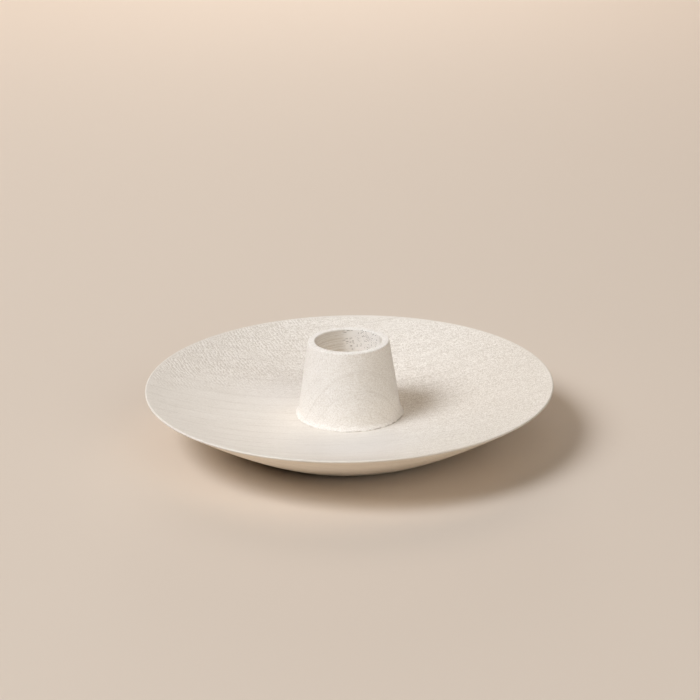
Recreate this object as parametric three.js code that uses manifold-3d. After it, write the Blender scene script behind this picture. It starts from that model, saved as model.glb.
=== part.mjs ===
// A turned wooden taper candle holder: a wide shallow dish with a tapered candle socket at its centre.
// The socket has a short spigot that is glued into the dish, and a wood screw from beneath holds the two.
// A felt pad in the dish's foot covers the screw and keeps the wood off the table.
// Millimetres, +Z up. The origin is on the table, on the axis that the pieces are turned about.

import * as THREE from "three";
import { mergeVertices } from "three/addons/utils/BufferGeometryUtils.js";
import Module from "manifold-3d";

// Felt pad
const PAD_DIAMETER = 70;
const PAD_PROUD = 0.6; // how far the pad stands below the wooden foot
const PAD_RECESS = 0.9; // how deep the pad is let into the foot
const PAD_EDGE = 0.4; // worn round on the pad's lower edge
const PAD_FIT = 0.3; // gap around the pad in its recess

// Dish
const DISH_DIAMETER = 140;
const DISH_DEPTH = 11.8; // from the flat seat at the centre up to the top of the rim
const FLOOR_THICKNESS = 5.7; // wood between the pad's recess and the seat
const RIM_THICKNESS = 0.8; // the rim's edge is a full round of this thickness
const SEAT_MARGIN = 0.5; // flat floor left showing around the socket's foot
const FACE_TURN = 19; // degrees that the hollow face turns through, from the seat to the rim
const UNDERSIDE_TURN = 7.5; // degrees that the underside turns through, from the foot to the rim
const FOOT_RING = 4.2; // flat ring of wood around the pad
const FOOT_ROUND = 1.5; // round between the foot and the underside

// Candle socket
const SOCKET_HEIGHT = 26.4; // above the seat
const SOCKET_TOP_DIAMETER = 28;
const SOCKET_LOW_DIAMETER = 35.2; // the straight taper's lower end, where the flare begins
const SOCKET_FOOT_DIAMETER = 37.4; // the flared foot
const FLARE_HEIGHT = 2.2;
const FOOT_EDGE = 0.2; // upright edge below the flare
const LIP_ROUND = 0.5; // outer edge of the socket's mouth
const MOUTH_ROUND = 0.4; // inner edge of the socket's mouth
const BORE_DIAMETER = 23; // at the mouth, for the 22 mm foot of a taper candle
const BORE_FLOOR_DIAMETER = 22.4; // the bore narrows a little, so that the candle wedges
const BORE_DEPTH = 18;
const SPIGOT_DIAMETER = 22;
const SPIGOT_LENGTH = 2.2;
const SPIGOT_FIT = 0.15; // room for glue around the spigot and under it

// Wood screw
const THREAD_DIAMETER = 3;
const CORE_DIAMETER = 2;
const THREAD_PITCH = 1.35;
const RIDGE_WIDTH = 0.9; // of the thread's ridge at its root
const HEAD_DIAMETER = 6; // countersunk at 90 degrees
const HEAD_SINK = 0.2; // how far the head lies below the recess's surface
const NECK_LENGTH = 1.6; // smooth shank above the head's cone
const TIP_LENGTH = 2.2;
const TIP_COVER = 1.85; // wood left between the screw's tip and the bore's floor
const SCREW_FIT = 0.15; // gap between the screw and the wood
const RECESS_SPAN = 3.2; // the cross cut for the driver
const RECESS_WIDTH = 0.7;
const RECESS_DEPTH = 1.2;

// Facets
const TURNED_FACETS = 64;
const EDGE_STEPS = 3; // along each small round of a profile
const NOSE_STEPS = 5;
const UNDERSIDE_STEPS = 6;
const FACE_STEPS = 10;
const SCREW_FACETS = 16;
const RINGS_PER_PITCH = 6;
const MERGE_DISTANCE = 1e-4;

// Heights and radii that follow from the sizes above
const footZ = PAD_PROUD;
const recessZ = footZ + PAD_RECESS;
const seatZ = recessZ + FLOOR_THICKNESS;
const rimZ = seatZ + DISH_DEPTH;
const spigotZ = seatZ - SPIGOT_LENGTH;
const mortiseZ = spigotZ - SPIGOT_FIT;
const socketTopZ = seatZ + SOCKET_HEIGHT;
const boreFloorZ = socketTopZ - BORE_DEPTH;
const headZ = recessZ + HEAD_SINK;
const screwTipZ = boreFloorZ - TIP_COVER;
const padRadius = PAD_DIAMETER / 2;
const recessRadius = padRadius + PAD_FIT;
const footRadius = recessRadius + FOOT_RING;
const rimRadius = DISH_DIAMETER / 2;
const seatRadius = SOCKET_FOOT_DIAMETER / 2 + SEAT_MARGIN;
const mortiseRadius = SPIGOT_DIAMETER / 2 + SPIGOT_FIT;
const threadRadius = THREAD_DIAMETER / 2;
const screwHoleRadius = threadRadius + SCREW_FIT;
const headRadius = HEAD_DIAMETER / 2;
const headHoleRadius = headRadius + SCREW_FIT;
const headConeHeight = headRadius - threadRadius;

const wasm = await Module();
wasm.setup();

const quarter = Math.PI / 2;
const degrees = THREE.MathUtils.degToRad;
const at = (r, z) => new THREE.Vector2(r, z);

// Points along a circular arc of a profile, between two angles in radians from the outward direction.
function arc(centre, radius, from, to, steps) {
  const points = [];
  for (let i = 0; i <= steps; i += 1) {
    const angle = from + ((to - from) * i) / steps;
    points.push(at(centre.x + radius * Math.cos(angle), centre.y + radius * Math.sin(angle)));
  }
  return points;
}

// Points along a curve that leaves one point at a slope and reaches another at a second slope, in radians.
// The curve's control point is where the two tangent lines cross.
function sweep(from, fromSlope, to, toSlope, steps) {
  const rise = to.y - from.y - Math.tan(toSlope) * (to.x - from.x);
  const run = rise / (Math.tan(fromSlope) - Math.tan(toSlope));
  const control = at(from.x + run, from.y + run * Math.tan(fromSlope));
  return new THREE.QuadraticBezierCurve(from, control, to).getPoints(steps);
}

const slopeBetween = (a, b) => Math.atan2(b.y - a.y, b.x - a.x);

// A profile of radius and height points, turned about the Z axis.
function turned(profile) {
  return new THREE.LatheGeometry(profile, TURNED_FACETS).rotateX(Math.PI / 2);
}

function dishGeometry() {
  const noseRadius = RIM_THICKNESS / 2;
  const noseCentre = at(rimRadius - noseRadius, rimZ - noseRadius);
  const footCentre = at(footRadius, footZ + FOOT_ROUND);
  const seatEdge = at(seatRadius, seatZ);

  const underChord = slopeBetween(at(footRadius, footZ), at(rimRadius, rimZ - RIM_THICKNESS));
  const underAtFoot = underChord - degrees(UNDERSIDE_TURN) / 2;
  const underAtRim = underChord + degrees(UNDERSIDE_TURN) / 2;
  const faceChord = slopeBetween(seatEdge, at(rimRadius - noseRadius, rimZ));
  const faceAtSeat = faceChord - degrees(FACE_TURN) / 2;
  const faceAtRim = faceChord + degrees(FACE_TURN) / 2;

  const footRound = arc(footCentre, FOOT_ROUND, -quarter, underAtFoot - quarter, EDGE_STEPS);
  const nose = arc(noseCentre, noseRadius, underAtRim - quarter, faceAtRim + quarter, NOSE_STEPS);
  const underside = sweep(footRound.at(-1), underAtFoot, nose[0], underAtRim, UNDERSIDE_STEPS);
  const face = sweep(seatEdge, faceAtSeat, nose.at(-1), faceAtRim, FACE_STEPS).reverse();

  const profile = [
    at(screwHoleRadius, mortiseZ),
    at(screwHoleRadius, headZ + headConeHeight),
    at(headHoleRadius, headZ),
    at(headHoleRadius, recessZ),
    at(recessRadius, recessZ),
    at(recessRadius, footZ),
    ...footRound,
    ...underside.slice(1, -1),
    ...nose,
    ...face.slice(1),
    at(mortiseRadius, seatZ),
    at(mortiseRadius, mortiseZ),
    at(screwHoleRadius, mortiseZ),
  ];
  return turned(profile);
}

function candleSocketGeometry() {
  const topRadius = SOCKET_TOP_DIAMETER / 2;
  const lowRadius = SOCKET_LOW_DIAMETER / 2;
  const flaredRadius = SOCKET_FOOT_DIAMETER / 2;
  const boreRadius = BORE_DIAMETER / 2;
  const taperFoot = at(lowRadius, seatZ + FLARE_HEIGHT);
  const taperSlope = slopeBetween(taperFoot, at(topRadius, socketTopZ));
  const flareFoot = at(flaredRadius, seatZ + FOOT_EDGE);

  const flareSlope = slopeBetween(flareFoot, taperFoot);
  const flare = sweep(flareFoot, 2 * flareSlope - taperSlope, taperFoot, taperSlope, EDGE_STEPS);
  const lipCentre = at(topRadius - LIP_ROUND, socketTopZ - LIP_ROUND);
  const lip = arc(lipCentre, LIP_ROUND, taperSlope - quarter, quarter, EDGE_STEPS);
  const mouthCentre = at(boreRadius + MOUTH_ROUND, socketTopZ - MOUTH_ROUND);
  const mouth = arc(mouthCentre, MOUTH_ROUND, quarter, Math.PI, EDGE_STEPS);
  const pilotEndZ = screwTipZ + SCREW_FIT;

  const profile = [
    at(0, pilotEndZ),
    at(screwHoleRadius, pilotEndZ),
    at(screwHoleRadius, spigotZ),
    at(SPIGOT_DIAMETER / 2, spigotZ),
    at(SPIGOT_DIAMETER / 2, seatZ),
    at(flaredRadius, seatZ),
    ...flare,
    ...lip,
    ...mouth,
    at(BORE_FLOOR_DIAMETER / 2, boreFloorZ),
    at(0, boreFloorZ),
  ];
  return turned(profile);
}

function basePadGeometry() {
  const lowerEdge = arc(at(padRadius - PAD_EDGE, PAD_EDGE), PAD_EDGE, -quarter, 0, EDGE_STEPS);
  return turned([at(0, 0), ...lowerEdge, at(padRadius, recessZ), at(0, recessZ)]);
}

// The screw's radius at a height above its head and an angle round it: a cone for the head, a smooth neck,
// then a core with a helical ridge that fades in above the neck and tapers away with the core at the tip.
function screwRadius(height, angle) {
  const neckTop = headConeHeight + NECK_LENGTH;
  const length = screwTipZ - headZ;
  const coreRadius = CORE_DIAMETER / 2;
  if (height <= headConeHeight) return headRadius - height;
  if (height <= neckTop) return threadRadius;
  const turn = (height - neckTop) / THREAD_PITCH - angle / (2 * Math.PI);
  const phase = turn - Math.floor(turn);
  const ridge = Math.max(0, 1 - (Math.abs(phase - 0.5) * 2 * THREAD_PITCH) / RIDGE_WIDTH);
  const taper = Math.min(1, (length - height) / TIP_LENGTH);
  return (coreRadius + (threadRadius - coreRadius) * ridge) * taper;
}

// The screw's surface is a stack of rings, closed on the axis at the head's face and at the tip.
function screwBlankGeometry() {
  const length = screwTipZ - headZ;
  const neckTop = headConeHeight + NECK_LENGTH;
  const threadRings = Math.ceil(((length - neckTop) / THREAD_PITCH) * RINGS_PER_PITCH);
  const heights = [0, headConeHeight];
  for (let i = 0; i < threadRings; i += 1) heights.push(neckTop + ((length - neckTop) * i) / threadRings);

  const positions = [0, 0, 0];
  for (const height of heights) {
    for (let i = 0; i < SCREW_FACETS; i += 1) {
      const angle = (2 * Math.PI * i) / SCREW_FACETS;
      const radius = screwRadius(height, angle);
      positions.push(radius * Math.cos(angle), radius * Math.sin(angle), height);
    }
  }
  const tip = positions.length / 3;
  positions.push(0, 0, length);

  const vertex = (ring, i) => 1 + ring * SCREW_FACETS + (i % SCREW_FACETS);
  const lastRing = heights.length - 1;
  const index = [];
  for (let i = 0; i < SCREW_FACETS; i += 1) {
    index.push(0, vertex(0, i + 1), vertex(0, i));
    for (let ring = 0; ring < lastRing; ring += 1) {
      index.push(vertex(ring, i), vertex(ring, i + 1), vertex(ring + 1, i + 1));
      index.push(vertex(ring, i), vertex(ring + 1, i + 1), vertex(ring + 1, i));
    }
    index.push(vertex(lastRing, i), vertex(lastRing, i + 1), tip);
  }
  const geometry = new THREE.BufferGeometry();
  geometry.setAttribute("position", new THREE.Float32BufferAttribute(positions, 3));
  return geometry.setIndex(index);
}

function solidFrom(geometry) {
  const bare = geometry.clone();
  bare.deleteAttribute("normal");
  bare.deleteAttribute("uv");
  const merged = mergeVertices(bare, MERGE_DISTANCE);
  const vertProperties = new Float32Array(merged.getAttribute("position").array);
  const triVerts = new Uint32Array(merged.index.array);
  return new wasm.Manifold(new wasm.Mesh({ numProp: 3, vertProperties, triVerts }));
}

function geometryFrom(solid) {
  const mesh = solid.getMesh();
  const geometry = new THREE.BufferGeometry();
  geometry.setAttribute("position", new THREE.BufferAttribute(mesh.vertProperties, 3));
  geometry.setIndex(new THREE.BufferAttribute(mesh.triVerts, 1));
  geometry.computeVertexNormals();
  return geometry;
}

function fixingScrewGeometry() {
  let screw = solidFrom(screwBlankGeometry());
  for (const turn of [0, quarter]) {
    const blade = new THREE.BoxGeometry(RECESS_SPAN, RECESS_WIDTH, 2 * RECESS_DEPTH).rotateZ(turn);
    screw = screw.subtract(solidFrom(blade));
  }
  return geometryFrom(screw);
}

function piece(name, geometry, colour, roughness, metalness) {
  const material = new THREE.MeshStandardMaterial({ color: colour, roughness, metalness });
  const mesh = new THREE.Mesh(geometry, material);
  mesh.name = name;
  return mesh;
}

const LIMED_WOOD = 0xebe3d8;
const GREY_FELT = 0x8f877c;
const ZINC_STEEL = 0xb4b4b0;

const candleHolder = new THREE.Group();
candleHolder.add(piece("dish", dishGeometry(), LIMED_WOOD, 0.75, 0));
candleHolder.add(piece("candle_socket", candleSocketGeometry(), LIMED_WOOD, 0.75, 0));
candleHolder.add(piece("base_pad", basePadGeometry(), GREY_FELT, 1, 0));

const fixingScrew = piece("fixing_screw", fixingScrewGeometry(), ZINC_STEEL, 0.35, 0.9);
fixingScrew.position.z = headZ;
candleHolder.add(fixingScrew);

export default candleHolder;
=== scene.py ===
import bpy
import numpy as np
from mathutils import Matrix, Vector


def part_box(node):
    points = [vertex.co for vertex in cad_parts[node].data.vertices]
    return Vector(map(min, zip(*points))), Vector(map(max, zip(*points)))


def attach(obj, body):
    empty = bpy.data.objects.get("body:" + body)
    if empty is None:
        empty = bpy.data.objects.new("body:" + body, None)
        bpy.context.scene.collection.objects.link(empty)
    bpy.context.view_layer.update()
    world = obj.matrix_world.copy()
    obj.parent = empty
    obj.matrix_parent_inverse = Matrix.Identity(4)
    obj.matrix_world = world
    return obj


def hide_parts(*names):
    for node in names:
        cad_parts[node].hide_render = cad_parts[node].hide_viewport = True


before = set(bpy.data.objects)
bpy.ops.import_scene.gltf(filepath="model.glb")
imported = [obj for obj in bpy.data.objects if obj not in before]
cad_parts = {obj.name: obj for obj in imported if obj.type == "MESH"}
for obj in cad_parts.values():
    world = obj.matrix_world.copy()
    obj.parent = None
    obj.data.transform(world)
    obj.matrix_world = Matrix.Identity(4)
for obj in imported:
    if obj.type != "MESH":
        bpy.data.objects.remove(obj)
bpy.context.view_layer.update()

# The dish
# A shallow round dish, faceplate-turned from one pale board, bleached and limed and left unvarnished.
# Its face is hollowed to a flat seat for the socket, and its underside runs straight down to a small foot.
MM = 0.001
QUARTER = np.pi / 2
SAME_POINT = 1e-9
UP = Vector((0, 0, 1))
DISH_FACETS = 288
RIM_THICKNESS = 0.8 * MM
SEAT_MARGIN = 0.5 * MM
FACE_TURN = np.radians(19)
UNDERSIDE_TURN = np.radians(7.5)
FOOT_RING = 4.2 * MM
FOOT_ROUND = 1.5 * MM
RECESS_ROUND = 0.25 * MM
PAD_ROOM = 0.3 * MM
SPIGOT_RADIUS = 11 * MM
SPIGOT_LENGTH = 2.2 * MM
SPIGOT_ROOM = 0.15 * MM
SHANK_RADIUS = 1.5 * MM
SCREW_ROOM = 0.15 * MM

dish_low, dish_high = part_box("dish")
socket_low, socket_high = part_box("candle_socket")
pad_low, pad_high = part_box("base_pad")
screw_low, screw_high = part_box("fixing_screw")
seat_height = socket_low.z + SPIGOT_LENGTH
seat_radius = socket_high.x + SEAT_MARGIN


def arc(centre, radius, start, stop, count):
    """Points of a round edge: the centre plus the radius times the cosine and the sine of angles that run
    evenly from start to stop."""
    angle = np.linspace(start, stop, count)
    return np.stack([centre[0] + radius * np.cos(angle), centre[1] + radius * np.sin(angle)], axis=1)


def sweep(start, start_slope, stop, stop_slope, count):
    """Points of a long curve that leaves and arrives at given slopes. The control point is where the two
    tangent lines cross, and the curve is start (1-t)^2 + 2 control t(1-t) + stop t^2."""
    rise = stop[1] - start[1] - np.tan(stop_slope) * (stop[0] - start[0])
    run = rise / (np.tan(start_slope) - np.tan(stop_slope))
    control = np.array([start[0] + run, start[1] + run * np.tan(start_slope)])
    t = np.linspace(0, 1, count)[:, None]
    return (1 - t) ** 2 * np.asarray(start) + 2 * t * (1 - t) * control + t**2 * np.asarray(stop)


def straight(start, stop, count):
    """Evenly spaced points on the line from start to stop."""
    t = np.linspace(0, 1, count)[:, None]
    return (1 - t) * np.asarray(start) + t * np.asarray(stop)


def turned(name, profile, facets):
    """A profile of radius r and height h carried round the axis: x = r cos a, y = r sin a, z = h.
    A profile with both ends on the axis gets a pole at each end, and any other is closed on itself."""
    steps = np.linalg.norm(np.diff(profile, axis=0, append=profile[:1]), axis=1)
    poles = profile[0, 0] < SAME_POINT and profile[-1, 0] < SAME_POINT
    rings = profile[1:-1] if poles else profile[steps > SAME_POINT]
    angle = np.linspace(0, 2 * np.pi, facets, endpoint=False)
    radius, height = rings[:, :1], rings[:, 1:]
    grid = np.stack([radius * np.cos(angle), radius * np.sin(angle), height + 0 * angle], axis=2)
    index = np.arange(len(rings) * facets).reshape(len(rings), facets)
    lower = index[:-1] if poles else index
    upper = index[1:] if poles else np.roll(index, -1, axis=0)
    quads = np.stack([lower, np.roll(lower, -1, axis=1), np.roll(upper, -1, axis=1), upper], axis=2)
    points, faces = grid.reshape(-1, 3), quads.reshape(-1, 4).tolist()
    if poles:
        first, last = len(points), len(points) + 1
        points = np.vstack([points, [0, 0, profile[0, 1]], [0, 0, profile[-1, 1]]])
        at_first = np.stack([np.full(facets, first), np.roll(index[0], -1), index[0]], axis=1)
        at_last = np.stack([np.full(facets, last), index[-1], np.roll(index[-1], -1)], axis=1)
        faces += at_first.tolist() + at_last.tolist()
    mesh = bpy.data.meshes.new(name)
    mesh.from_pydata(points.tolist(), [], faces)
    mesh.shade_smooth()
    piece = bpy.data.objects.new(name, mesh)
    bpy.context.scene.collection.objects.link(piece)
    return piece


nose_radius = RIM_THICKNESS / 2
nose_centre = (dish_high.x - nose_radius, dish_high.z - nose_radius)
recess_radius = pad_high.x + PAD_ROOM
foot_radius = recess_radius + FOOT_RING
foot_height = dish_low.z
mortise_height = socket_low.z - SPIGOT_ROOM
mortise_radius = SPIGOT_RADIUS + SPIGOT_ROOM
hole_radius = SHANK_RADIUS + SCREW_ROOM
head_hole_radius = screw_high.x + SCREW_ROOM
head_cone_top = screw_low.z + screw_high.x - SHANK_RADIUS
under_chord = np.arctan2(dish_high.z - RIM_THICKNESS - foot_height, dish_high.x - foot_radius)
face_chord = np.arctan2(dish_high.z - seat_height, nose_centre[0] - seat_radius)
under_slopes = under_chord - UNDERSIDE_TURN / 2, under_chord + UNDERSIDE_TURN / 2
face_slopes = face_chord - FACE_TURN / 2, face_chord + FACE_TURN / 2
recess_centre = (recess_radius + RECESS_ROUND, foot_height + RECESS_ROUND)
foot_round = arc((foot_radius, foot_height + FOOT_ROUND), FOOT_ROUND, -QUARTER, under_slopes[0] - QUARTER, 10)
nose = arc(nose_centre, nose_radius, under_slopes[1] - QUARTER, face_slopes[1] + QUARTER, 20)
underside = sweep(foot_round[-1], under_slopes[0], nose[0], under_slopes[1], 40)
face = sweep(nose[-1], face_slopes[1], (seat_radius, seat_height), face_slopes[0], 60)
dish_profile = np.vstack([
    straight((hole_radius, mortise_height), (hole_radius, head_cone_top), 4),
    straight((hole_radius, head_cone_top), (head_hole_radius, screw_low.z), 4)[1:],
    straight((head_hole_radius, screw_low.z), (head_hole_radius, pad_high.z), 3)[1:],
    straight((head_hole_radius, pad_high.z), (recess_radius, pad_high.z), 20)[1:],
    arc(recess_centre, RECESS_ROUND, 2 * QUARTER, 3 * QUARTER, 5),
    foot_round,
    underside[1:-1],
    nose,
    face[1:],
    straight((seat_radius, seat_height), (mortise_radius, seat_height), 8)[1:],
    straight((mortise_radius, seat_height), (mortise_radius, mortise_height), 4)[1:],
    straight((mortise_radius, mortise_height), (hole_radius, mortise_height), 6)[1:-1],
])
dish = turned("dish_turning", dish_profile, DISH_FACETS)


class Wire:
    """A shader node's output, which takes part in Python arithmetic: each operator adds one Math node."""

    def __init__(self, tree, socket=None):
        self.tree = tree
        self.socket = socket

    def node(self, kind, inputs=None, output=0, **settings):
        """Adds a node of a kind, makes its settings, then fills its sockets with values or other wires."""
        added = self.tree.nodes.new(kind)
        for setting, value in settings.items():
            setattr(added, setting, value)
        for key, value in (inputs or {}).items():
            if isinstance(value, Wire):
                self.tree.links.new(value.socket, added.inputs[key])
            else:
                added.inputs[key].default_value = value
        return Wire(self.tree, added.outputs[output]) if added.outputs else None

    def math(self, operation, *operands):
        """One Math node on values or wires."""
        return self.node("ShaderNodeMath", dict(enumerate(operands)), operation=operation)

    def __add__(self, other):
        return self.math("ADD", self, other)

    def __sub__(self, other):
        return self.math("SUBTRACT", self, other)

    def __rsub__(self, other):
        return self.math("SUBTRACT", other, self)

    def __mul__(self, other):
        return self.math("MULTIPLY", self, other)

    def __truediv__(self, other):
        return self.math("DIVIDE", self, other)

    def __pow__(self, other):
        return self.math("POWER", self, other)

    __radd__ = __add__
    __rmul__ = __mul__

    def along(self, direction):
        """How far this vector reaches along a direction: the dot product."""
        ends = {0: self, 1: tuple(direction)}
        return self.node("ShaderNodeVectorMath", ends, "Value", operation="DOT_PRODUCT")

    def far_from(self, point):
        """How far this place lies from a point."""
        ends = {0: self, 1: tuple(point)}
        return self.node("ShaderNodeVectorMath", ends, "Value", operation="DISTANCE")

    def rise(self, low, high):
        """A smooth step from 0 at low to 1 at high."""
        ends = {"Value": self, "From Min": low, "From Max": high}
        return self.node("ShaderNodeMapRange", ends, interpolation_type="SMOOTHSTEP")

    def noise(self, scale, detail=2.0, roughness=0.5, curl=0.0):
        """Smooth noise around one half at this place. Its scale is in cells for each metre, and the curl
        bends the cells."""
        grain = {"Scale": scale, "Detail": detail, "Roughness": roughness, "Distortion": curl}
        return self.node("ShaderNodeTexNoise", {"Vector": self, **grain})

    def cells(self, scale):
        """How far the nearest of many scattered points lies, in cells of which a metre holds the scale."""
        return self.node("ShaderNodeTexVoronoi", {"Vector": self, "Scale": scale})

    def between(self, low, high):
        """The colour low where this value is 0, the colour high where it is 1, and their mix in between."""
        return self.node("ShaderNodeMix", {"Factor": self, 6: (*low, 1), 7: (*high, 1)}, 2, data_type="RGBA")

    def mix(self, other, share):
        """This colour turned towards another by a share from 0 to 1."""
        other = other if isinstance(other, Wire) else (*other, 1)
        return self.node("ShaderNodeMix", {"Factor": share, 6: self, 7: other}, 2, data_type="RGBA")

    def bump(self, strength, distance):
        """The normal of a surface that this height roughens."""
        return self.node("ShaderNodeBump", {"Height": self, "Strength": strength, "Distance": distance})


def new_finish(name):
    """A material that is empty but for one node, and that node's wire: the place of a point, in metres."""
    material = bpy.data.materials.new(name)
    material.use_nodes = True
    material.node_tree.nodes.clear()
    return material, Wire(material.node_tree).node("ShaderNodeTexCoord", output="Object")


def end_finish(place, sockets):
    """Ends a finish: a Principled shader with these values or wires in its sockets, shown on the surface."""
    shader = place.node("ShaderNodeBsdfPrincipled", sockets)
    place.node("ShaderNodeOutputMaterial", {"Surface": shader})


def bearing(degrees):
    """A level direction by its angle from +X towards +Y: the cosine, the sine and no rise."""
    angle = np.radians(degrees)
    return Vector((np.cos(angle), np.sin(angle), 0))


class Board:
    """Limed wood that fills a piece: its material, and wires that tell where a point lies in the grain.
    u, v and w are distances across, above and along the level fibre, and a slow drift bends the first two."""

    # Painted light: the lighter, creamier pair of colours for faces that look down
    UNDERSIDE_PAINTED_LIGHT_BARE = (0.90, 0.80, 0.655)
    UNDERSIDE_PAINTED_LIGHT_LIME = (0.985, 0.905, 0.785)
    LATE_WOOD = (0.60, 0.53, 0.45)
    PORE = (0.30, 0.25, 0.20)
    DRIFT_SCALE = 28
    DRIFT_ACROSS = 1.2 * MM
    DRIFT_ABOVE = 2.0 * MM
    SPECK_SCALE = 2900
    STRAND_SCALE, STRAND_STRETCH = 3400, 8
    STROKE_CONTRAST = 3.2
    CLOUD_SCALE = 70
    STREAK_SCALE, STREAK_STRETCH = 220, 15
    WOBBLE_SCALE, WOBBLE_SHARE = 120, 0.25
    LATE_STARTS, LATE_DARKEST = 0.78, 0.93
    PATCH_SCALE = 130
    DARKER_WITHIN, DARKEST_WITHIN = 11 * MM, 1 * MM
    SAPWOOD_FADE = 2 * MM
    PORE_SCALE, PORE_STRETCH = 1500, 6
    CLUSTER_SCALE = 600
    PORE_DEPTH = 0.1 * MM

    def __init__(self, name, fibre):
        self.material, self.place = new_finish(name)
        self.normal = self.place.node("ShaderNodeNewGeometry", output="Normal")
        self.fibre = fibre
        self.across = fibre.cross(UP)
        self.drift = self.place.noise(self.DRIFT_SCALE) - 0.5
        self.u = self.place.along(self.across) + self.drift * self.DRIFT_ACROSS
        self.v = self.place.along(UP) + self.drift * self.DRIFT_ABOVE
        self.w = self.place.along(fibre)

    def drawn_out(self, stretch):
        """A place for noise whose marks are drawn out along the fibre by a factor."""
        return self.place.node("ShaderNodeCombineXYZ", {0: self.u, 1: self.v, 2: self.w / stretch})

    def from_axis(self):
        """How far a point lies from the axis of the turning: the root of x squared plus y squared."""
        x, y = self.place.along((1, 0, 0)), self.place.along((0, 1, 0))
        return self.place.math("SQRT", x * x + y * y)

    def flecks(self):
        """Fine marks around zero: even specks, and strands along the fibre that are dots on end grain."""
        specks = self.place.noise(self.SPECK_SCALE, 0.0) - 0.5
        strands = self.drawn_out(self.STRAND_STRETCH).noise(self.STRAND_SCALE, 1.0) - 0.5
        return specks + strands * 0.7

    def strokes(self, flecks, rubbed):
        """How much lime lies on a point: flecks around one half, stronger where the coat is rubbed."""
        return flecks * (self.STROKE_CONTRAST * rubbed) + 0.5

    def limed(self, strokes, bare, lime):
        """A colour from bare wood to lime by the strokes, with soft clouds and long streaks added to them.
        Faces that look down get a lighter, creamier pair of colours: painted light on the underside."""
        clouds = self.place.noise(self.CLOUD_SCALE, 3.0) - 0.5
        streaks = self.drawn_out(self.STREAK_STRETCH).noise(self.STREAK_SCALE, 3.0) - 0.5
        coat = strokes + clouds * 0.2 + streaks * 0.4
        painted_underside_light = coat.between(self.UNDERSIDE_PAINTED_LIGHT_BARE, self.UNDERSIDE_PAINTED_LIGHT_LIME)
        # Painted light: faces that look down are made lighter and creamier
        painted_light_below = self.normal.along(-UP).rise(0.3, 0.9)
        return coat.between(bare, lime).mix(painted_underside_light, painted_light_below * 0.9)

    def ringed(self, colour, pith, ring_width, sapwood, share):
        """Darkens each year's late wood: shells at even distances from the pith's line. They are broken in
        patches, grow stronger towards the sapwood and end there."""
        side = self.u - Vector(pith).dot(self.across)
        height = self.v - Vector(pith).dot(UP)
        from_pith = self.place.math("SQRT", side * side + height * height)
        wobble = (self.place.noise(self.WOBBLE_SCALE, 3.0) - 0.5) * self.WOBBLE_SHARE
        season = self.place.math("FRACT", from_pith / ring_width + wobble)
        late = season.rise(self.LATE_STARTS, self.LATE_DARKEST) * (1 - season.rise(self.LATE_DARKEST, 1.0))
        in_heartwood = 1 - from_pith.rise(sapwood, sapwood + self.SAPWOOD_FADE)
        patches = 0.4 + self.place.noise(self.PATCH_SCALE, 1.0).rise(0.4, 0.6) * 0.6
        darker = from_pith.rise(sapwood - self.DARKER_WITHIN, sapwood - self.DARKEST_WITHIN)
        return colour.mix(self.LATE_WOOD, late * in_heartwood * patches * (0.5 + darker * 0.5) * share)

    def finished(self, colour, strokes, relief=1.0):
        """The material: pores are opened, most of all on end grain, where the normal lies along the fibre.
        The strokes stand up and the pores sink in by the relief, and limed spots are smoother."""
        vessel = self.drawn_out(self.PORE_STRETCH)
        clusters = vessel.noise(self.CLUSTER_SCALE, 1.0).rise(0.40, 0.54)
        pores = (1 - vessel.cells(self.PORE_SCALE).rise(0.15, 0.42)) * clusters
        end_grain = self.place.math("ABSOLUTE", self.normal.along(self.fibre)) ** 2
        height = (strokes * 0.4 - pores * (0.5 + end_grain)) * relief
        end_finish(self.place, {
            "Base Color": colour.mix(self.PORE, pores * (0.06 + 0.12 * end_grain)),
            "Roughness": 0.86 - strokes * 0.12,
            "Normal": height.bump(0.4, self.PORE_DEPTH),
            "Specular IOR Level": 0.35,
        })
        return self.material


DISH_BARE = (0.70, 0.635, 0.55)
DISH_LIME = (0.96, 0.905, 0.83)
# Painted shade: the tone that the dish's right side is darkened towards
PAINTED_SHADE_TONE = (0.62, 0.54, 0.44)
# Painted light: the white of the painted pools of light
PAINTED_LIGHT_COLOUR = (1.0, 0.965, 0.92)
DISH_FIBRE = bearing(8)
DISH_PITH = (27.0 * MM, -192.3 * MM, 10 * MM)
DISH_RING_WIDTH = 6.8 * MM
DISH_SAPWOOD = 300 * MM
GRIT_SIDE = bearing(-14.93)
GRIT_SCALE = 1500
PAINTED_SHADE_SIDE = bearing(-16.2)
COMB_PITCH = 1.3 * MM
COMB_ACROSS = bearing(31.05)
COMB_WANDER_SCALE, COMB_WANDER = 520, 10
COMB_BREAK_SCALE = 160
COMBED_BACK = bearing(121.6)
COMBED_LEFT = bearing(180)
RUBBED_LEAST, RUBBED_MORE = 0.2, 1.2
# Where the lime lies thick: the middle of each spot, and how far from it the rubbing starts and is strongest
THICK_SPOTS = (
    ((-40 * MM, -40 * MM, 12 * MM), 46 * MM, 88 * MM),
    ((12 * MM, 85 * MM, 16 * MM), 5 * MM, 50 * MM),
)
# Painted pools of light: the middle of each whitened spot, how far it reaches, and how white it is
PAINTED_LIGHT_SPOTS = (
    ((-1 * MM, -38 * MM, 9 * MM), 32 * MM, 0.42),
    ((-25 * MM, 15 * MM, 9 * MM), 20 * MM, 0.27),
)


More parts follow.
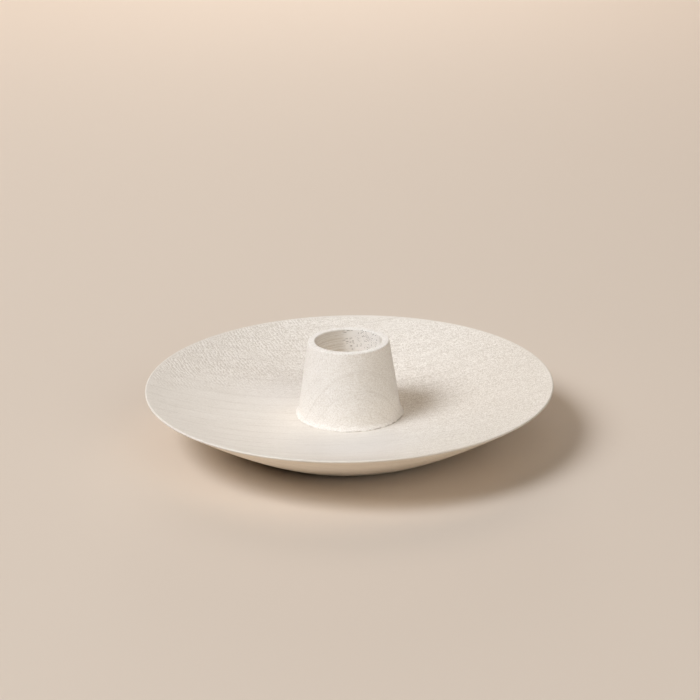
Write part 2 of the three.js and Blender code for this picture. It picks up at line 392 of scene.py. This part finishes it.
def dish_wood():
    """Limed wood with the dish's own wear. Away from the thick spots the lime is rubbed to strong strokes,
    with grit on the right. At the back left it is combed: a sine across the comb's lines, which wanders and
    breaks off. The rim is handled smooth, the right side is darkened with painted shade, and two soft spots
    are whitened with painted light."""
    board = Board("limed_dish_wood", DISH_FIBRE)
    place = board.place

    gritty = place.along(GRIT_SIDE).rise(19.3 * MM, 41.9 * MM)
    flecks = board.flecks() + (place.noise(GRIT_SCALE, 0.0) - 0.5) * gritty * 0.35
    rubbed = RUBBED_MORE
    for spot, near, far in THICK_SPOTS:
        rubbed = rubbed * place.far_from(spot).rise(near, far)
    strokes = board.strokes(flecks, rubbed + RUBBED_LEAST)

    wander = (place.noise(COMB_WANDER_SCALE, 1.0) - 0.5) * COMB_WANDER
    comb_place = place.along(COMB_ACROSS) + board.drift * board.DRIFT_ACROSS
    comb = place.math("SINE", comb_place * (2 * np.pi / COMB_PITCH) + wander)
    broken = place.noise(COMB_BREAK_SCALE, 1.0).rise(0.3, 0.6)
    at_back = place.along(COMBED_BACK).rise(27.8 * MM, 57.3 * MM)
    at_left = place.along(COMBED_LEFT).rise(9.4 * MM, 19.4 * MM)
    strokes = strokes + comb * broken * at_back * at_left * 0.75

    rim = dish_high.x
    relief = 1 - board.from_axis().rise(rim - 2 * MM, rim - 0.5 * MM)
    strokes = (strokes - 0.5) * (0.15 + relief * 0.85) + 0.5

    colour = board.limed(strokes, DISH_BARE, DISH_LIME)
    colour = board.ringed(colour, DISH_PITH, DISH_RING_WIDTH, DISH_SAPWOOD, share=0.5)
    # Painted shade: the dish darkens towards its right side
    colour = colour.mix(PAINTED_SHADE_TONE, place.along(PAINTED_SHADE_SIDE).rise(6.2 * MM, 62 * MM) * 0.3)
    # Painted light: two soft pools of light are whitened into the wood
    for spot, reach, share in PAINTED_LIGHT_SPOTS:
        colour = colour.mix(PAINTED_LIGHT_COLOUR, (1 - place.far_from(spot).rise(0, reach)) * share)
    return board.finished(colour, strokes, relief)


dish.data.materials.append(dish_wood())
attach(dish, "root")
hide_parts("dish")

# The candle socket
# A tapered cup turned from the same wood with its grain lying flat, bored from the top for the candle's foot.
# A spigot under it is glued into the dish, and its foot flares a little where it meets the floor.
SOCKET_FACETS = 240
SOCKET_TOP_RADIUS = 14.0 * MM
SOCKET_LOW_RADIUS = 17.6 * MM
FLARE_HEIGHT = 2.2 * MM
FOOT_EDGE = 0.2 * MM
JOINT_ROUND = 0.12 * MM
LIP_ROUND = 0.5 * MM
MOUTH_ROUND = 0.4 * MM
BORE_RADIUS = 11.5 * MM
BORE_FLOOR_RADIUS = 11.2 * MM
BORE_DEPTH = 18 * MM
SOCKET_BARE = (0.81, 0.75, 0.675)
SOCKET_LIME = (0.98, 0.935, 0.875)
# Bit marks and painted shade: the brown of the bore's smooth wall
BIT_MARK_AND_SHADE = (0.50, 0.41, 0.29)
# Dust and painted shade: the dark of the line in the seam
SEAM_DUST_AND_SHADE = (0.36, 0.30, 0.24)
SOCKET_FIBRE = bearing(14)
SOCKET_PITH = (34.5 * MM, -138.2 * MM, -49.9 * MM)
SOCKET_RING_WIDTH = 4.27 * MM
SOCKET_SAPWOOD = 150.8 * MM
SOCKET_RUBBED = 0.6
BIT_SCALE = 1400
PIT_SCALE = 2300
SEAM_SCALE = 420

flare_radius = socket_high.x
bore_floor = socket_high.z - BORE_DEPTH
pilot_end = screw_high.z + SCREW_ROOM
taper_foot = (SOCKET_LOW_RADIUS, seat_height + FLARE_HEIGHT)
flare_foot = (flare_radius, seat_height + FOOT_EDGE)
lip_centre = (SOCKET_TOP_RADIUS - LIP_ROUND, socket_high.z - LIP_ROUND)
mouth_centre = (BORE_RADIUS + MOUTH_ROUND, socket_high.z - MOUTH_ROUND)
taper_slope = np.arctan2(socket_high.z - taper_foot[1], SOCKET_TOP_RADIUS - SOCKET_LOW_RADIUS)
flare_slope = np.arctan2(taper_foot[1] - flare_foot[1], taper_foot[0] - flare_foot[0])
lip = arc(lip_centre, LIP_ROUND, taper_slope - QUARTER, QUARTER, 10)
mouth = arc(mouth_centre, MOUTH_ROUND, QUARTER, 2 * QUARTER, 8)
socket_profile = np.vstack([
    straight((0, pilot_end), (hole_radius, pilot_end), 3),
    straight((hole_radius, pilot_end), (hole_radius, socket_low.z), 8)[1:],
    straight((hole_radius, socket_low.z), (SPIGOT_RADIUS, socket_low.z), 8)[1:],
    straight((SPIGOT_RADIUS, socket_low.z), (SPIGOT_RADIUS, seat_height), 4)[1:],
    straight((SPIGOT_RADIUS, seat_height), (flare_radius - JOINT_ROUND, seat_height), 8)[1:-1],
    arc((flare_radius - JOINT_ROUND, seat_height + JOINT_ROUND), JOINT_ROUND, -QUARTER, 0, 6),
    sweep(flare_foot, 2 * flare_slope - taper_slope, taper_foot, taper_slope, 14),
    straight(taper_foot, lip[0], 40)[1:-1],
    lip,
    mouth,
    straight(mouth[-1], (BORE_FLOOR_RADIUS, bore_floor), 30)[1:],
    straight((BORE_FLOOR_RADIUS, bore_floor), (0, bore_floor), 12)[1:],
])
candle_socket = turned("candle_socket_turning", socket_profile, SOCKET_FACETS)


def socket_wood():
    """Limed wood with the marks of boring and gluing. In the bore the pores are torn open where the bit ran
    against the fibre, which is where the normal leans both along it and across it, and the bit's rings show
    elsewhere. The bore is whitened with lime and painted light, and its smooth wall gets painted shade.
    A fine dark line lies in the seam at the foot: dust and painted contact shade, stronger towards the right."""
    board = Board("limed_socket_wood", SOCKET_FIBRE)
    place = board.place
    height = place.along(UP)
    strokes = board.strokes(board.flecks(), SOCKET_RUBBED)
    colour = board.limed(strokes, SOCKET_BARE, SOCKET_LIME)
    colour = board.ringed(colour, SOCKET_PITH, SOCKET_RING_WIDTH, SOCKET_SAPWOOD, share=0.26)

    in_bore = 1 - board.from_axis().rise(BORE_RADIUS + 0.05 * MM, BORE_RADIUS + 0.35 * MM)
    against = board.normal.along(board.fibre) * board.normal.along(board.across) * -2
    torn = against.rise(-0.1, 0.5) * in_bore
    smooth = in_bore - torn
    bit_rings = place.node("ShaderNodeCombineXYZ", {2: height + board.drift * MM}).noise(BIT_SCALE, 1.0)
    # The bore is whitened partly by lime and partly by painted light
    colour = colour.mix(SOCKET_LIME, torn * 0.95 + smooth * 0.4)
    # Bit rings, with an even painted shade over the smooth wall, which shows on the bore's shaded left
    colour = colour.mix(BIT_MARK_AND_SHADE, smooth * (0.10 + bit_rings.rise(0.4, 0.65) * 0.38))
    vessel = board.drawn_out(board.PORE_STRETCH)
    clusters = 0.1 + vessel.noise(board.CLUSTER_SCALE, 1.0).rise(0.38, 0.56) * 0.8
    pits = (1 - vessel.cells(PIT_SCALE).rise(0.22, 0.42)) * clusters
    colour = colour.mix(board.PORE, pits * torn)

    # The seam line is dust and painted contact shade, stronger on the shaded right
    seam = 1 - height.rise(seat_height + 0.15 * MM, seat_height + 0.5 * MM)
    towards_shaded_right = place.along((1, 0, 0)).rise(-10 * MM, 10 * MM)
    dust_and_shade = place.noise(SEAM_SCALE).rise(0.36, 0.58) * (0.2 + towards_shaded_right * 0.5)
    return board.finished(colour.mix(SEAM_DUST_AND_SHADE, seam * dust_and_shade), strokes)


candle_socket.data.materials.append(socket_wood())
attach(candle_socket, "root")
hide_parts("candle_socket")

# The fixing screw
# A countersunk wood screw of zinc plated steel, driven from beneath through the dish into the socket's foot.
# It keeps the shape that the frame gives it, and only its plating is added.
ZINC_DARK = (0.55, 0.55, 0.54)
ZINC_LIGHT = (0.68, 0.68, 0.66)
SPANGLE_SCALE = 1400
DIE_RING_SCALE = 9000
DIE_RING_DEPTH = 0.02 * MM


def zinc_plate():
    """Bright zinc: cloudy spangles of two greys, with fine rings from the die around the screw's axis."""
    material, place = new_finish("screw_zinc")
    spangle = place.noise(SPANGLE_SCALE, 3.0, 0.6)
    die_rings = place.node("ShaderNodeCombineXYZ", {2: place.along(UP)}).noise(DIE_RING_SCALE)
    end_finish(place, {
        "Base Color": spangle.rise(0.35, 0.65).between(ZINC_DARK, ZINC_LIGHT),
        "Metallic": 1.0,
        "Roughness": 0.26 + spangle * 0.2,
        "Normal": die_rings.bump(0.2, DIE_RING_DEPTH),
    })
    return material


fixing_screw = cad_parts["fixing_screw"]
fixing_screw.data.materials.clear()
fixing_screw.data.materials.append(zinc_plate())

# The base pad
# A disc of pressed wool felt, cut by hand and glued into the recess of the dish's foot over the screw.
# It stands a little proud of the wood, and its lower edge is worn round.
PAD_FACETS = 360
PAD_EDGE = 0.4 * MM
CUT_WANDER = 0.06 * MM
MATTING = 0.03 * MM
CUT_SHARE = 0.03
TUFT_SEED = 4
WOOL_DARK = (0.20, 0.175, 0.145)
WOOL_LIGHT = (0.33, 0.295, 0.25)
WOOL_FLECK = (0.46, 0.42, 0.36)
WOOL_CLOUD = (0.24, 0.21, 0.175)
TANGLE_SCALE, TANGLE_CURL = 700, 4.0
FLECK_SCALE, FLECK_CURL = 420, 7.0
WOOL_CLOUD_SCALE = 60
NAP_DEPTH = 0.25 * MM

pad_radius = pad_high.x - 2 * CUT_WANDER
pad_edge_centre = (pad_radius - PAD_EDGE, pad_low.z + PAD_EDGE)
pad_profile = np.vstack([
    straight((0, pad_low.z), (pad_edge_centre[0], pad_low.z), 40),
    arc(pad_edge_centre, PAD_EDGE, -QUARTER, 0, 8)[1:],
    straight((pad_radius, pad_edge_centre[1]), (pad_radius, pad_high.z), 10)[1:],
    straight((pad_radius, pad_high.z), (0, pad_high.z), 20)[1:],
])
base_pad = turned("base_pad_felt", pad_profile, PAD_FACETS)


def cut_by_hand(piece, outer):
    """Moves the points near a disc's outer edge: by three slow waves round it, of 3, 7 and 11 to the turn,
    and by small random tufts. The shift grows to its full size over the cut's share of the radius."""
    points = np.empty(3 * len(piece.data.vertices))
    piece.data.vertices.foreach_get("co", points)
    points = points.reshape(-1, 3)
    angle = np.arctan2(points[:, 1], points[:, 0])
    radius = np.hypot(points[:, 0], points[:, 1])
    waves = (np.sin(3 * angle + 0.7) + np.sin(7 * angle + 2.1) + np.sin(11 * angle)) / 3
    tufts = np.random.default_rng(TUFT_SEED).uniform(-1, 1, len(points))
    share = np.clip((radius - (1 - CUT_SHARE) * outer) / (CUT_SHARE * outer), 0, 1)
    grown = radius + share * (CUT_WANDER * waves + MATTING * tufts)
    points[:, :2] *= (grown / np.maximum(radius, SAME_POINT))[:, None]
    piece.data.vertices.foreach_set("co", points.ravel())
    piece.data.update()


def pressed_felt():
    """Matted wool: curled noise for the tangle of fibres, and paler flecks where single fibres lie on top."""
    material, place = new_finish("pad_wool_felt")
    tangle = place.noise(TANGLE_SCALE, 3.0, 0.6, TANGLE_CURL)
    flecks = place.noise(FLECK_SCALE, 3.0, 0.6, FLECK_CURL).rise(0.56, 0.66)
    colour = tangle.rise(0.3, 0.7).between(WOOL_DARK, WOOL_LIGHT)
    colour = colour.mix(WOOL_FLECK, flecks * 0.45)
    colour = colour.mix(WOOL_CLOUD, place.noise(WOOL_CLOUD_SCALE).rise(0.4, 0.7) * 0.4)
    end_finish(place, {
        "Base Color": colour,
        "Roughness": 1.0,
        "Normal": (tangle + flecks * 0.4).bump(0.7, NAP_DEPTH),
        "Specular IOR Level": 0.1,
        "Sheen Weight": 0.3,
        "Sheen Roughness": 0.5,
    })
    return material


cut_by_hand(base_pad, pad_radius)
base_pad.data.materials.append(pressed_felt())
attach(base_pad, "root")
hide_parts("base_pad")

# The stage
# A plain pale floor in a pale room, with soft light: a high window on the left, its bounce from the walls
# around, and a wash on the far floor. The camera has the photograph's viewing angle.
FLOOR_HALF = 8.0
FLOOR_COLOUR = (0.70, 0.60, 0.50)
ROOM_COLOUR = (0.72, 0.64, 0.56)
LIGHT_DISTANCE = 3.0
FAR_WASH_PLACE = Vector((0, 1.4, 0.9))

floor_mesh = bpy.data.meshes.new("floor")
floor_corners = [(x * FLOOR_HALF, y * FLOOR_HALF, 0) for x, y in ((-1, -1), (1, -1), (1, 1), (-1, 1))]
floor_mesh.from_pydata(floor_corners, [], [(0, 1, 2, 3)])
floor = bpy.data.objects.new("floor", floor_mesh)
bpy.context.scene.collection.objects.link(floor)
floor_material = bpy.data.materials.new("pale_floor")
floor_material.use_nodes = True
floor_shader = floor_material.node_tree.nodes["Principled BSDF"]
floor_shader.inputs["Base Color"].default_value = (*FLOOR_COLOUR, 1)
floor_shader.inputs["Roughness"].default_value = 0.9
floor_mesh.materials.append(floor_material)


def round_the_dish(turn, elevation):
    """A place at the lights' distance from the dish, by its bearing and its elevation in degrees."""
    rise = np.radians(elevation)
    return (bearing(turn) * np.cos(rise) + UP * np.sin(rise)) * LIGHT_DISTANCE


def soft_light(name, place, size, power, colour, aim=None):
    """A disc of light at a place, hidden from the camera. It faces the dish, or a direction of its own."""
    lamp = bpy.data.lights.new(name, "AREA")
    lamp.shape = "DISK"
    lamp.size = size
    lamp.energy = power
    lamp.color = colour
    holder = bpy.data.objects.new(name, lamp)
    holder.location = place
    direction = -place if aim is None else aim
    holder.rotation_euler = direction.to_track_quat("-Z", "Y").to_euler()
    holder.visible_camera = False
    bpy.context.scene.collection.objects.link(holder)


soft_light("window", round_the_dish(202, 48), size=1.8, power=61.5, colour=(0.92, 0.956, 1.0))
soft_light("window_pane", round_the_dish(202, 52), size=1.0, power=17.5, colour=(0.795, 0.855, 1.0))
soft_light("front_card", round_the_dish(281, 50), size=2.6, power=16.8, colour=(1.0, 0.87, 0.73))
soft_light("front_right_bounce", round_the_dish(315, 28), size=2.4, power=22.2, colour=(0.952, 0.99, 1.0))
soft_light("right_bounce", round_the_dish(0, 28), size=2.4, power=2.6, colour=(1.0, 0.45, 0.05))
soft_light("left_wall", round_the_dish(135, 28), size=2.4, power=9.6, colour=(1.0, 0.71, 0.39))
soft_light("low_back", round_the_dish(90, 8), size=0.8, power=13.3, colour=(0.93, 1.0, 0.967))
soft_light("far_wash", FAR_WASH_PLACE, size=1.2, power=7.6, colour=(1.0, 0.865, 0.785), aim=-UP)

world = bpy.data.worlds.new("room")
world.use_nodes = True
world.node_tree.nodes["Background"].inputs["Color"].default_value = (*ROOM_COLOUR, 1)
world.cycles_visibility.diffuse = False
world.cycles_visibility.glossy = False
bpy.context.scene.world = world
bpy.context.scene.view_settings.view_transform = "Standard"

CAMERA_DISTANCE = 586.07 * MM
CAMERA_ELEVATION = np.radians(19.829)
CAMERA_ROLL = np.radians(-0.979)
CAMERA_SIDE = 0.279 * MM
CAMERA_LIFT = 10.312 * MM
CAMERA_NEAR = 10 * MM
FOCAL_PIXELS = 1700
IMAGE_PIXELS = 700
SENSOR = 36

forward = Vector((0, np.cos(CAMERA_ELEVATION), -np.sin(CAMERA_ELEVATION)))
level = Vector((1, 0, 0))
over = level.cross(forward)
right = level * np.cos(CAMERA_ROLL) + over * np.sin(CAMERA_ROLL)
up = over * np.cos(CAMERA_ROLL) - level * np.sin(CAMERA_ROLL)
eye = Vector((0, 0, dish_high.z)) - forward * CAMERA_DISTANCE + right * CAMERA_SIDE + up * CAMERA_LIFT
lens = bpy.data.cameras.new("photo_camera")
lens.sensor_width = SENSOR
lens.lens = SENSOR * FOCAL_PIXELS / IMAGE_PIXELS
lens.clip_start = CAMERA_NEAR
camera = bpy.data.objects.new("photo_camera", lens)
facing = Matrix((right, up, -forward)).transposed().to_4x4()
camera.matrix_world = Matrix.Translation(eye) @ facing
bpy.context.scene.collection.objects.link(camera)
bpy.context.scene.camera = camera
